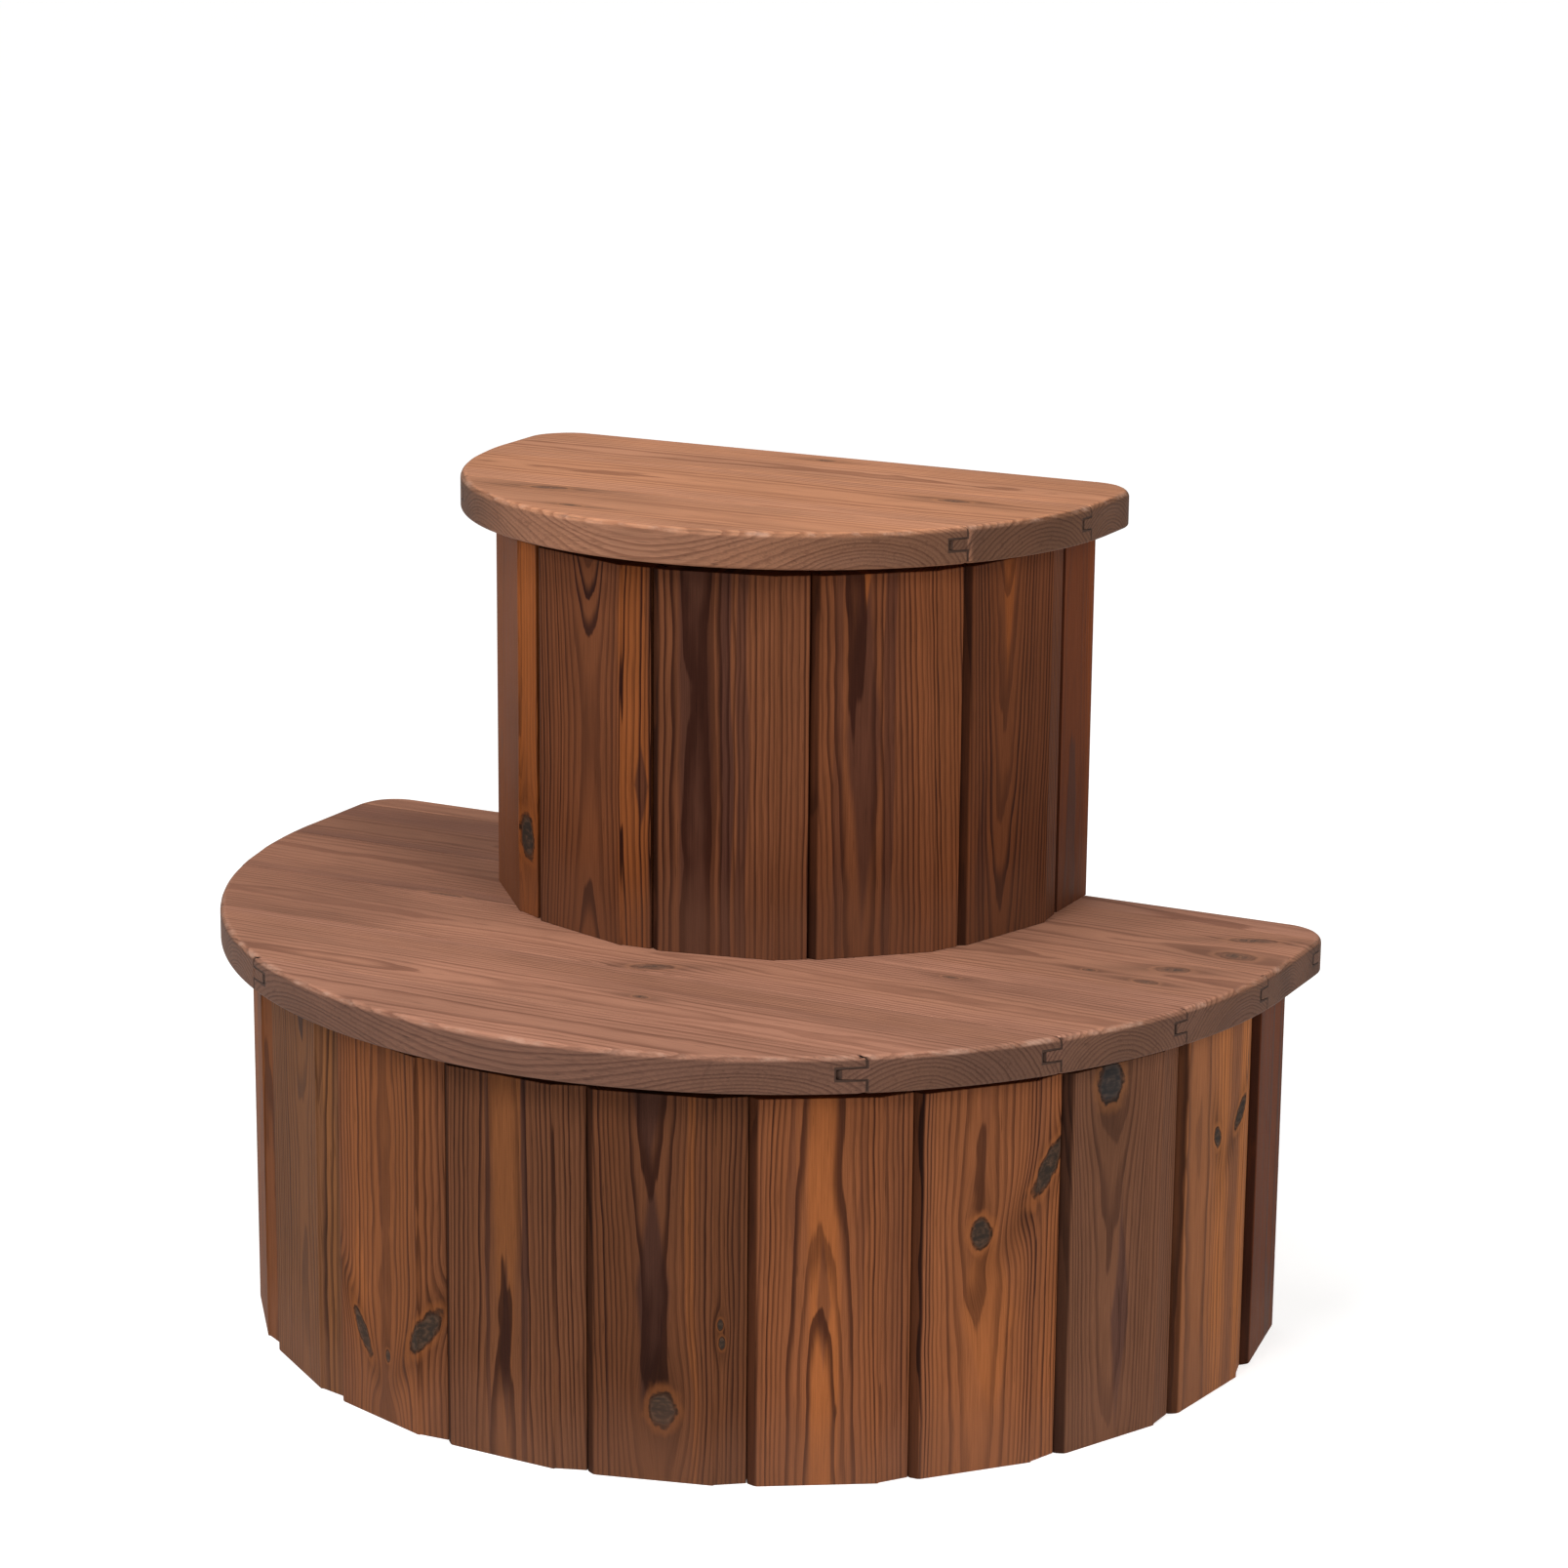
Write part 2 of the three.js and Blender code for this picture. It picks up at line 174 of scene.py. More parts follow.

# The grain of each board that shows most. tint multiplies the board's tones, partly for the board's own
# tone and partly as painted light and shade for how the light falls on that board. pith is where the tree's
# centre lies, across the board and into it (m); lean is how it drifts per metre along the board; bow is
# how far it bends (per metre) about the height `middle`; spacing is the width of a year (mm). bands,
# warm, grey and contrast are how strong the deep bands, the orange, the greying and the latewood lines
# are. A knot is (across, along, half width, half length, tilt in degrees) and a streak is (across,
# along, half width, half length, tone, strength), in mm from the foot of a stave or the middle of a
# tread board.
GRAIN = {
    "upper_stave_03": {
        "tint_and_light": (1.08, 1.00, 0.95),
        "pith": (-0.020, 0.050),
        "spacing": 2.1,
        "warm": 0.1,
        "bands": 0.1,
        "contrast": 0.5,
        "streaks": [(60, 180, 16, 900, "warm", 1.0)],
        "knots": [(56, 58, 8, 17, 8)],
    },
    "upper_stave_04": {
        "tint_and_light": (0.87, 0.83, 0.87),
        "pith": (0.013, 0.028),
        "bow": 0.30,
        "spacing": 2.8,
        "bands": 0.0,
        "warm": 0.15,
        "contrast": 1.0,
        "streaks": [(56, 120, 13, 1200, "warm", 0.95), (61, 118, 6, 34, "deep", 0.8)],
    },
    "upper_stave_05": {
        "tint_and_light": (1.04, 1.04, 1.13),
        "pith": (-0.010, 0.032),
        "spacing": 3.0,
        "bands": 0.3,
        "warm": 0.0,
        "streaks": [
            (-12, 140, 15, 900, "deep", 0.85),
            (1, 140, 4, 900, "late", 0.6),
            (12, 140, 5, 900, "deep", 0.9),
            (23, 140, 5, 700, "deep", 0.7),
        ],
    },
    "upper_stave_06": {
        "tint_and_light": (1.08, 1.04, 1.10),
        "pith": (-0.006, 0.034),
        "lean": (-0.03, 0.0),
        "spacing": 2.8,
        "bands": 0.1,
        "warm": 0.3,
        "streaks": [
            (-6, 160, 15, 170, "deep", 0.95),
            (-6, 295, 7, 55, "warm", 1.0),
            (12, 140, 5, 900, "deep", 0.9),
            (-24, 120, 4, 700, "deep", 0.6),
        ],
    },
    "upper_stave_07": {
        "tint_and_light": (0.83, 0.76, 0.77),
        "pith": (-0.002, 0.030),
        "lean": (0.0, -0.036),
        "spacing": 2.5,
        "bands": 0.1,
        "warm": 0.2,
        "streaks": [(0, 280, 8, 110, "warm", 0.9), (-24, 40, 7, 120, "deep", 0.7)],
    },
    "upper_stave_08": {
        "tint_and_light": (0.73, 0.56, 0.47),
        "pith": (0.030, 0.050),
        "spacing": 2.4,
        "bands": 0.1,
        "warm": 0.8,
        "contrast": 0.5,
        "streaks": [(-34, 140, 12, 900, "late", 0.7)],
    },
    "lower_stave_05": {
        "tint_and_light": (0.88, 1.07, 1.28),
        "pith": (0.020, 0.040),
        "spacing": 2.3,
        "bands": 0.3,
        "warm": 0.3,
        "contrast": 0.8,
        "streaks": [(58, 140, 6, 900, "warm", 0.45)],
    },
    "lower_stave_06": {
        "tint_and_light": (1.00, 1.04, 1.16),
        "pith": (0.010, 0.044),
        "spacing": 2.2,
        "bands": 0.0,
        "warm": 0.45,
        "contrast": 0.75,
        "streaks": [(8, 220, 2, 300, "deep", 0.7), (-16, 92, 9, 60, "warm", 0.5)],
        "knots": [(-13, 60, 5, 18, 28), (50, 76, 7, 21, -34), (14, 49, 2.6, 4.5, 0)],
    },
    "lower_stave_07": {
        "tint_and_light": (0.81, 0.89, 1.05),
        "pith": (0.008, 0.031),
        "lean": (0.0, 0.014),
        "spacing": 2.5,
        "bands": 0.1,
        "warm": 0.1,
        "streaks": [
            (9, 270, 16, 330, "warm", 0.6),
            (9, 78, 5, 82, "deep", 0.9),
            (23.5, 140, 3, 900, "deep", 0.9),
            (-5, 140, 2, 900, "deep", 0.8),
        ],
    },
    "lower_stave_08": {
        "tint_and_light": (0.81, 0.84, 0.92),
        "pith": (0.004, 0.032),
        "lean": (0.0, -0.01),
        "spacing": 2.4,
        "bands": 0.2,
        "warm": 0.1,
        "streaks": [
            (2, 285, 16, 80, "deep", 1.0),
            (4, 136, 13, 105, "deep", 1.0),
            (30, 140, 4, 500, "warm", 0.5),
        ],
        "knots": [(11, 52, 9.5, 13, 0), (50, 115, 2, 4, 0), (51, 102, 2, 4.5, 0)],
    },
    "lower_stave_09": {
        "tint_and_light": (1.08, 1.10, 1.28),
        "pith": (0.007, 0.031),
        "lean": (0.0, 0.016),
        "spacing": 2.5,
        "bands": 0.0,
        "warm": 0.45,
        "streaks": [
            (8, 150, 13, 900, "warm", 1.0),
            (7, 130, 6, 56, "deep", 0.75),
            (-13, 210, 4, 120, "deep", 0.7),
            (33, 190, 4, 110, "deep", 0.7),
            (16, 52, 1.4, 9, "late", 1.0),
        ],
    },
    "lower_stave_10": {
        "tint_and_light": (1.27, 1.33, 1.60),
        "pith": (0.005, 0.033),
        "lean": (0.0, -0.01),
        "spacing": 2.5,
        "bands": 0.0,
        "warm": 0.6,
        "streaks": [(5, 262, 5, 70, "deep", 0.6), (14, 110, 22, 90, "warm", 0.7)],
        "knots": [(5, 171, 8, 11, 0), (56, 210, 7.5, 22, -34)],
    },
    "lower_stave_11": {
        "tint_and_light": (1.17, 1.13, 1.19),
        "pith": (0.000, 0.034),
        "lean": (0.0, -0.03),
        "spacing": 2.4,
        "bands": 0.1,
        "warm": 0.0,
        "grey": 0.75,
        "contrast": 0.6,
        "streaks": [(9, 90, 9, 100, "deep", 0.7)],
        "knots": [(-4, 262, 11, 16, 0)],
    },
    "lower_stave_12": {
        "tint_and_light": (1.47, 1.67, 2.00),
        "pith": (-0.020, 0.045),
        "spacing": 2.3,
        "bands": 0.1,
        "warm": 0.9,
        "contrast": 0.6,
        "knots": [(6, 193, 4.5, 8, 12), (38, 203, 5, 13, -30)],
    },
    "lower_stave_13": {
        "tint_and_light": (0.71, 0.52, 0.38),
        "pith": (0.020, 0.050),
        "spacing": 2.2,
        "bands": 0.5,
        "warm": 0.2,
        "contrast": 0.7,
    },
    "upper_tread_board_01": {"pith": (0.010, 0.050), "spacing": 2.6, "knots": [(-30, 2, 4, 8, 0)]},
    "upper_tread_board_02": {
        "pith": (-0.010, 0.060),
        "spacing": 2.8,
        "knots": [(-30, 154, 6, 12, 0)],
        "streaks": [(10, 20, 1.5, 120, "late", 0.7), (22, 60, 2.5, 90, "deep", 0.7)],
    },
    "upper_tread_board_03": {
        "pith": (0.000, 0.045),
        "spacing": 2.8,
        "knots": [(-40, -119, 6, 14, 10), (12, -72, 3, 9, 0)],
        "streaks": [(28, 40, 2, 60, "late", 0.8), (-20, 0, 3, 150, "deep", 0.5)],
    },
    "lower_tread_board_02": {
        "pith": (0.010, 0.050),
        "spacing": 2.4,
        # Painted shadow: this wide streak darkens the board's left end, where the upper module shades the
        # tread.
        "streaks": [(0, -400, 160, 380, "deep", 1.0)],
        "knots": [(12, 368, 9, 14, 0), (-30, 364, 6, 17, 20)],
    },
    "lower_tread_board_03": {
        "pith": (-0.020, 0.060),
        "spacing": 2.6,
        "knots": [(-7, 289, 3, 5, 0), (1, 335, 5, 9, 0), (-35, 341, 7, 12, 20), (48, -203, 7, 18, 0)],
        # Painted shadow: this wide streak darkens the board's left end, where the upper module shades the
        # tread.
        "streaks": [(0, -400, 180, 360, "deep", 1.0)],
    },
    "lower_tread_board_04": {
        "pith": (0.000, 0.045),
        "spacing": 2.6,
        "knots": [(32, 20, 7, 15, 25), (-44, 212, 3, 6, 0)],
        "streaks": [
            # Painted shadow: this first wide streak darkens the board's left end, where the upper module
            # shades the tread.
            (0, -380, 170, 260, "deep", 0.8),
            (20, -60, 3, 90, "late", 0.5),
            (-10, 150, 4, 110, "deep", 0.6),
        ],
    },
    "lower_tread_board_05": {
        "pith": (0.020, 0.040),
        "spacing": 2.8,
        "knots": [(0, 46, 3.5, 6, 0)],
        "streaks": [(10, -20, 2, 120, "late", 0.5), (-22, 100, 5, 160, "deep", 0.5)],
    },
    "lower_tread_board_06": {
        "pith": (0.000, 0.050),
        "spacing": 2.8,
        "streaks": [(10, 30, 3, 160, "deep", 0.5)],
    },
}

# What every tread board shares.
TREAD_GRAIN = {"bands": 0.12, "warm": 0.4, "contrast": 0.8}


# Node graphs --------------------------------------------------------------------------------------


class Graph:
    """Short calls for adding shader nodes to one node tree."""

    def __init__(self, tree):
        self.tree = tree

    def node(self, kind, inputs=None, **settings):
        """A node with these settings. An input is a value, or a socket to link from."""
        made = self.tree.nodes.new(kind)
        for key, value in settings.items():
            setattr(made, key, value)
        for key, value in (inputs or {}).items():
            self.put(made.inputs[key], value)
        return made

    def put(self, socket, value):
        if isinstance(value, bpy.types.NodeSocket):
            self.tree.links.new(value, socket)
        elif socket.type == "RGBA" and len(value) == 3:
            socket.default_value = (*value, 1.0)
        else:
            socket.default_value = value

    def math(self, operation, a, b=0.0, c=0.0):
        made = self.node("ShaderNodeMath", {0: a, 1: b, 2: c}, operation=operation)
        return made.outputs[0]

    def vector(self, operation, a, b=(0, 0, 0)):
        made = self.node("ShaderNodeVectorMath", {0: a, 1: b}, operation=operation)
        return made.outputs["Value" if operation in ("LENGTH", "DOT_PRODUCT") else "Vector"]

    def scaled(self, vector, scale):
        return self.node("ShaderNodeVectorMath", {0: vector, "Scale": scale}, operation="SCALE").outputs[0]

    def split(self, vector):
        return self.node("ShaderNodeSeparateXYZ", {0: vector}).outputs

    def join(self, x=0.0, y=0.0, z=0.0):
        return self.node("ShaderNodeCombineXYZ", {0: x, 1: y, 2: z}).outputs[0]

    def ramp(self, value, low, high, out_low=0.0, out_high=1.0):
        """A smooth step from out_low at low to out_high at high."""
        levels = {"Value": value, 1: low, 2: high, 3: out_low, 4: out_high}
        return self.node("ShaderNodeMapRange", levels, interpolation_type="SMOOTHSTEP").outputs[0]

    def noise(self, point, scale, detail=2.0, roughness=0.5, colour=False):
        """Noise with its own scale along each axis, so that it can be drawn out along the grain."""
        stretched = self.vector("MULTIPLY", point, scale)
        levels = {"Vector": stretched, "Scale": 1.0, "Detail": detail, "Roughness": roughness}
        return self.node("ShaderNodeTexNoise", levels).outputs["Color" if colour else "Fac"]

    def mix(self, factor, a, b, blend="MIX"):
        made = self.node("ShaderNodeMix", {0: factor, 6: a, 7: b}, data_type="RGBA", blend_type=blend)
        return made.outputs[2]


def new_group(name, inputs, outputs):
    """An empty node group, as (graph, the values given to it, the sockets for its results)."""
    tree = bpy.data.node_groups.new(name, "ShaderNodeTree")
    for label, kind in inputs.items():
        tree.interface.new_socket(label, in_out="INPUT", socket_type=f"NodeSocket{kind}")
    for label, kind in outputs.items():
        tree.interface.new_socket(label, in_out="OUTPUT", socket_type=f"NodeSocket{kind}")
    graph = Graph(tree)
    return graph, graph.node("NodeGroupInput").outputs, graph.node("NodeGroupOutput").inputs


def knot_group():
    """One knot: bends the grain round itself and reports how near it is, in knot radii."""
    g, given, out = new_group(
        "Knot",
        {
            "Point": "Vector",
            "Bent": "Vector",
            "Nearest": "Float",
            "Shade": "Float",
            "Centre": "Vector",
            "Size": "Vector",
            "Tilt": "Float",
            "Pull": "Float",
        },
        {"Bent": "Vector", "Nearest": "Float", "Shade": "Float"},
    )
    away = g.vector("MULTIPLY", g.vector("SUBTRACT", given["Point"], given["Centre"]), (1, 0, 1))
    turned = g.node(
        "ShaderNodeVectorRotate",
        {"Vector": away, "Axis": (0, 1, 0), "Angle": given["Tilt"]},
        rotation_type="AXIS_ANGLE",
    ).outputs[0]
    radii = g.vector("DIVIDE", turned, given["Size"])
    ragged = g.noise(given["Point"], (140, 140, 90), detail=3.0)
    distance = g.math("MULTIPLY", g.vector("LENGTH", radii), g.ramp(ragged, 0.2, 0.8, 0.85, 1.15))

    reach = g.vector("LENGTH", g.vector("MULTIPLY", radii, (0.50, 0, 0.30)))
    pull = g.math("EXPONENT", g.math("MULTIPLY", g.math("POWER", reach, 2.0), -1.0))
    shift = g.vector("MULTIPLY", away, (-1, 0, 0))
    bend = g.scaled(shift, g.math("MULTIPLY", pull, given["Pull"]))
    g.put(out["Bent"], g.vector("ADD", given["Bent"], bend))

    smear = g.vector("LENGTH", g.vector("MULTIPLY", radii, (0.62, 0, 0.27)))
    shade = g.math("EXPONENT", g.math("MULTIPLY", g.math("POWER", smear, 2.0), -1.0))
    g.put(out["Shade"], g.math("MAXIMUM", given["Shade"], shade))
    g.put(out["Nearest"], g.math("MINIMUM", given["Nearest"], distance))
    return g.tree


def streak_group():
    """A long streak of another tone, widest at its centre and closing to a point at each end."""
    g, given, out = new_group(
        "Streak",
        {
            "Point": "Vector",
            "Color": "Color",
            "Tone": "Color",
            "Centre": "Vector",
            "Size": "Vector",
            "Strength": "Float",
        },
        {"Color": "Color"},
    )
    away = g.vector("DIVIDE", g.vector("SUBTRACT", given["Point"], given["Centre"]), given["Size"])
    across, _, along = g.split(g.vector("ABSOLUTE", away))
    inside = g.ramp(g.math("ADD", across, along), 0.66, 1.04, 1.0, 0.0)
    g.put(out["Color"], g.mix(g.math("MULTIPLY", inside, given["Strength"]), given["Color"], given["Tone"]))
    return g.tree


def timber_group():
    """Annual rings round a pith axis, with latewood lines, colour bands, fibres and knots."""
    g, given, out = new_group(
        "Timber",
        {
            "Bent": "Vector",
            "Nearest": "Float",
            "Shade": "Float",
            "Pith": "Vector",
            "Lean": "Vector",
            "Bow": "Float",
            "Middle": "Float",
            "Spacing": "Float",
            "Seed": "Float",
            "Bands": "Float",
            "Warmth": "Float",
            "Early": "Color",
            "Late": "Color",
            "Warm": "Color",
            "Deep": "Color",
            "Heart": "Color",
            "Rim": "Float",
            "Edge": "Float",
            "Contrast": "Float",
        },
        {"Color": "Color", "Latewood": "Float", "Height": "Float", "Fibre": "Float"},
    )
    point, seed = given["Bent"], given["Seed"]
    seeded = g.vector("ADD", point, g.join(seed, seed, seed))
    along = g.split(point)[2]

    # Distance to a pith that leans, bows and wanders along the board.
    wander = g.noise(seeded, (7, 7, 2.8), detail=4.0, roughness=0.55, colour=True)
    wander = g.vector("MULTIPLY", g.vector("SUBTRACT", wander, (0.5, 0.5, 0.5)), (0.011, 0.013, 0))
    lean = g.scaled(given["Lean"], along)
    from_middle = g.math("SUBTRACT", along, given["Middle"])
    sag = g.math("MULTIPLY", g.math("MULTIPLY", from_middle, from_middle), given["Bow"])
    centre = g.vector("ADD", g.vector("ADD", given["Pith"], lean), wander)
    centre = g.vector("SUBTRACT", centre, g.join(0.0, sag, 0.0))
    radius = g.vector("LENGTH", g.vector("MULTIPLY", g.vector("SUBTRACT", point, centre), (1, 1, 0)))

    # Rings of uneven width, with a little tooth along the grain.
    rings = g.math("DIVIDE", radius, given["Spacing"])
    uneven = g.noise(g.join(g.math("MULTIPLY", rings, 0.17), seed, 0.0), (1, 1, 1), detail=1.0)
    tooth = g.noise(seeded, (190, 190, 8), detail=2.0)
    rings = g.math("ADD", rings, g.math("MULTIPLY", uneven, 3.0))
    rings = g.math("ADD", rings, g.math("MULTIPLY", tooth, 0.50))
    phase = g.math("FRACT", rings)
    number = g.math("ADD", g.math("FLOOR", rings), seed)
    growth = g.node("ShaderNodeTexWhiteNoise", {"W": number}, noise_dimensions="1D").outputs["Value"]
    rise = g.ramp(phase, 0.36, 0.82)
    fall = g.ramp(phase, 0.92, 1.0, 1.0, 0.0)
    late = g.math("MULTIPLY", g.math("MULTIPLY", rise, fall), g.ramp(growth, 0.0, 1.0, 0.45, 1.0))
    g.put(out["Latewood"], late)

    # Bands of colour that follow groups of rings.
    band_point = g.join(g.math("MULTIPLY", rings, 0.17), g.math("MULTIPLY", along, 0.9), seed)
    bands = g.ramp(g.noise(band_point, (1, 1, 1), detail=2.0), 0.48, 0.66)
    bands = g.math("MULTIPLY", bands, given["Bands"])
    other_seed = g.math("ADD", seed, 31.0)
    warm_point = g.join(g.math("MULTIPLY", rings, 0.11), g.math("MULTIPLY", along, 0.7), other_seed)
    warmth = g.ramp(g.noise(warm_point, (1, 1, 1), detail=1.0), 0.35, 0.62)
    warmth = g.math("MULTIPLY", warmth, given["Warmth"])
    colour = g.mix(warmth, given["Early"], given["Warm"])
    colour = g.mix(bands, colour, given["Deep"])
    colour = g.mix(g.math("MULTIPLY", late, given["Contrast"]), colour, given["Late"])

    # Fibres, resin flecks and slow patches.
    fibre = g.noise(seeded, (1300, 1300, 24), detail=3.0, roughness=0.6)
    flecks = g.ramp(g.noise(seeded, (620, 620, 34), detail=1.0), 0.66, 0.76)
    patch = g.noise(seeded, (11, 11, 4), detail=3.0)
    value = g.math("MULTIPLY", g.ramp(fibre, 0.2, 0.8, 0.80, 1.18), g.ramp(patch, 0.25, 0.75, 0.84, 1.14))
    value = g.math("MULTIPLY", value, g.math("SUBTRACT", 1.0, g.math("MULTIPLY", flecks, 0.30)))
    value = g.math("MULTIPLY", value, g.math("SUBTRACT", 1.0, g.math("MULTIPLY", given["Shade"], 0.42)))
    colour = g.mix(1.0, colour, g.join(value, value, value), "MULTIPLY")

    # Knots: a warm collar, a dark broken rim and a heart with its own rings.
    near = given["Nearest"]
    collar = g.math("MULTIPLY", g.ramp(near, 0.92, 1.12), g.ramp(near, 1.14, 1.70, 1.0, 0.0))
    colour = g.mix(g.math("MULTIPLY", collar, 0.36), colour, given["Warm"])
    mottle = g.noise(seeded, (300, 300, 300), detail=3.0)
    heart = g.ramp(near, given["Edge"], 1.10, 1.0, 0.0)
    heart_rings = g.ramp(g.math("FRACT", g.math("MULTIPLY", g.math("ADD", near, mottle), 2.2)), 0.1, 0.9)
    paler = g.mix(1.0, given["Heart"], (2.8, 2.2, 1.8), "MULTIPLY")
    mixed = g.math("MULTIPLY", g.ramp(mottle, 0.35, 0.70), g.ramp(heart_rings, 0.0, 1.0, 0.35, 1.0))
    wood = g.mix(mixed, given["Heart"], paler)
    colour = g.mix(heart, colour, wood)
    rim = g.math("MULTIPLY", g.ramp(near, 0.78, 0.93), g.ramp(near, 0.97, 1.12, 1.0, 0.0))
    rim = g.math("MULTIPLY", rim, g.math("MULTIPLY", g.ramp(mottle, 0.38, 0.62, 0.1, 1.0), given["Rim"]))
    colour = g.mix(rim, colour, KNOT_RIM_TONE)
    g.put(out["Color"], colour)

    relief = g.math("ADD", g.math("MULTIPLY", late, 0.55), g.math("MULTIPLY", fibre, 0.45))
    relief = g.math("SUBTRACT", relief, g.math("MULTIPLY", rim, 0.6))
    g.put(out["Height"], relief)
    g.put(out["Fibre"], fibre)
    return g.tree


KNOT = knot_group()
STREAK = streak_group()
TIMBER = timber_group()


def start_material(name):
    """A new material, its graph and the inputs of its shader."""
    material = bpy.data.materials.new(name)
    material.use_nodes = True
    graph = Graph(material.node_tree)
    return material, graph, material.node_tree.nodes["Principled BSDF"].inputs


def add_knots(g, point, knots):
    """The point bent round every knot, the distance to the nearest one and the shade they give."""
    bent, nearest, shade = point, 9.0, 0.0
    for across, along, half_width, half_length, tilt in knots:
        facts = {
            "Point": point,
            "Bent": bent,
            "Nearest": nearest,
            "Shade": shade,
            "Centre": (across * MM, 0.0, along * MM),
            "Size": (half_width * MM, 1.0, half_length * MM),
            "Tilt": math.radians(tilt),
            "Pull": 0.88 - 0.80 * abs(math.sin(math.radians(tilt))),
        }
        made = g.node("ShaderNodeGroup", facts, node_tree=KNOT).outputs
        bent, nearest, shade = (made[key] for key in ("Bent", "Nearest", "Shade"))
    return bent, nearest, shade


def add_streaks(g, point, bent, streaks, tones, seed):
    """The early wood's colour with every streak painted over it, wobbling a little along its length."""
    if not streaks:
        return tones["early"]
    colour = tones["early"]
    wobble = g.noise(g.vector("ADD", point, (seed, seed, seed)), (22, 22, 6), detail=3.0)
    wobble = g.math("MULTIPLY", g.math("SUBTRACT", wobble, 0.5), 0.012)
    spot = g.vector("ADD", bent, g.join(wobble, 0.0, 0.0))
    for across, along, half_width, half_length, tone, strength in streaks:
        facts = {
            "Point": spot,
            "Color": colour,
            "Tone": tones[tone],
            "Centre": (across * MM, 0.0, along * MM),
            "Size": (half_width * MM, 1.0, half_length * MM),
            "Strength": strength,
        }
        colour = g.node("ShaderNodeGroup", facts, node_tree=STREAK).outputs[0]
    return colour


def grow(g, grain, tones, seed):
    """Adds the board's knots and timber to its material, and gives back (point, timber outputs)."""
    point = g.node("ShaderNodeTexCoord").outputs["Object"]
    bent, nearest, shade = add_knots(g, point, grain["knots"])
    early = add_streaks(g, point, bent, grain["streaks"], tones, seed)
    facts = {
        "Bent": bent,
        "Nearest": nearest,
        "Shade": shade,
        "Pith": (*grain["pith"], 0.0),
        "Lean": (*grain["lean"], 0.0),
        "Bow": grain["bow"],
        "Middle": grain["middle"],
        "Spacing": grain["spacing"] * MM,
        "Seed": seed * 3.7,
        "Bands": grain["bands"],
        "Warmth": grain["warm"],
        "Early": early,
        "Late": tones["late"],
        "Warm": tones["warm"],
        "Deep": tones["deep"],
        "Heart": tones["heart"],
        "Rim": tones["rim"],
        "Edge": tones["edge"],
        "Contrast": grain["contrast"],
    }
    return point, g.node("ShaderNodeGroup", facts, node_tree=TIMBER).outputs


def grain_of(name, seed):
    """The grain set out for a board, over seeded values for whatever isn't set."""
    dice = random.Random(seed)
    chosen = {
        "pith": (dice.uniform(-0.03, 0.03), dice.uniform(0.034, 0.075)),
        "lean": (dice.uniform(-0.01, 0.01), dice.uniform(-0.03, 0.03)),
        "bow": 0.0,
        "middle": 0.14,
        "spacing": dice.uniform(2.2, 2.9),
        "bands": dice.uniform(0.1, 0.7),
        "warm": dice.uniform(0.2, 0.9),
        "grey": 0.0,
        "tint_and_light": (1.0, 1.0, 1.0),
        "contrast": 0.9,
        "streaks": [],
        "knots": [random_knot(dice) for _ in range(dice.choice((0, 1, 1, 2)))],
    }
    if name in GRAIN:
        chosen["knots"] = []
        chosen["lean"] = (0.0, 0.0)
    chosen.update(GRAIN.get(name, {}))
    return chosen


def random_knot(dice):
    """A knot for a board that has none set out for it."""
    half_width = dice.uniform(2.5, 7)
    across, along = dice.uniform(-35, 45), dice.uniform(30, 250)
    half_length = half_width * dice.uniform(1.3, 2.2)
    return (across, along, half_width, half_length, dice.uniform(-25, 25))


def tinted(tones, tint_and_light):
    """The tones multiplied per board: partly for a board that is paler, darker or redder than the rest,
    partly as painted light and shade for how the light falls on it.
    """
    made = dict(tones)
    for key in ("early", "late", "warm", "deep"):
        made[key] = tuple(tone * part for tone, part in zip(tones[key], tint_and_light))
    return made


def stave_material(name, seed):
    """Oiled timber, paler and greyer where rain splashes its foot, with painted shade on its left-facing
    bevel.
    """
    grain = grain_of(name, seed)
    material, g, shader = start_material(name)
    # Each stave's tones are scaled per board: its own tone, together with painted light and shade.
    point, timber = grow(g, grain, tinted(STAVE_TONES, grain["tint_and_light"]), seed)
    colour = timber["Color"]
    if grain["grey"]:
        colour = g.mix(grain["grey"], colour, g.mix(1.0, colour, GREYING, "MULTIPLY"))
    ragged = g.math("MULTIPLY", g.noise(point, (40, 40, 9), detail=3.0), 0.06)
    height = g.math("ADD", g.split(point)[2], ragged)
    faded = g.math("MULTIPLY", g.ramp(height, 0.035, 0.105, 1.0, 0.0), 0.30)
    colour = g.mix(faded, colour, FOOT_TONE)
    # Painted shade: the bevel that faces left, away from the light, is darkened in colour.
    facing_left = g.math("MULTIPLY", g.split(g.node("ShaderNodeTexCoord").outputs["Normal"])[0], -1.0)
    bevel = g.ramp(facing_left, 0.20, 0.60)
    colour = g.mix(bevel, colour, g.mix(1.0, colour, LEFT_BEVEL_PAINTED_SHADE, "MULTIPLY"))
    g.put(shader["Base Color"], colour)
    g.put(shader["Roughness"], g.ramp(timber["Latewood"], 0.0, 1.0, 0.68, 0.56))
    g.put(shader["Specular IOR Level"], 0.035)
    bump = g.node("ShaderNodeBump", {"Height": timber["Height"], "Strength": 0.6, "Distance": 0.0005})
    g.put(shader["Normal"], bump.outputs[0])
    return material


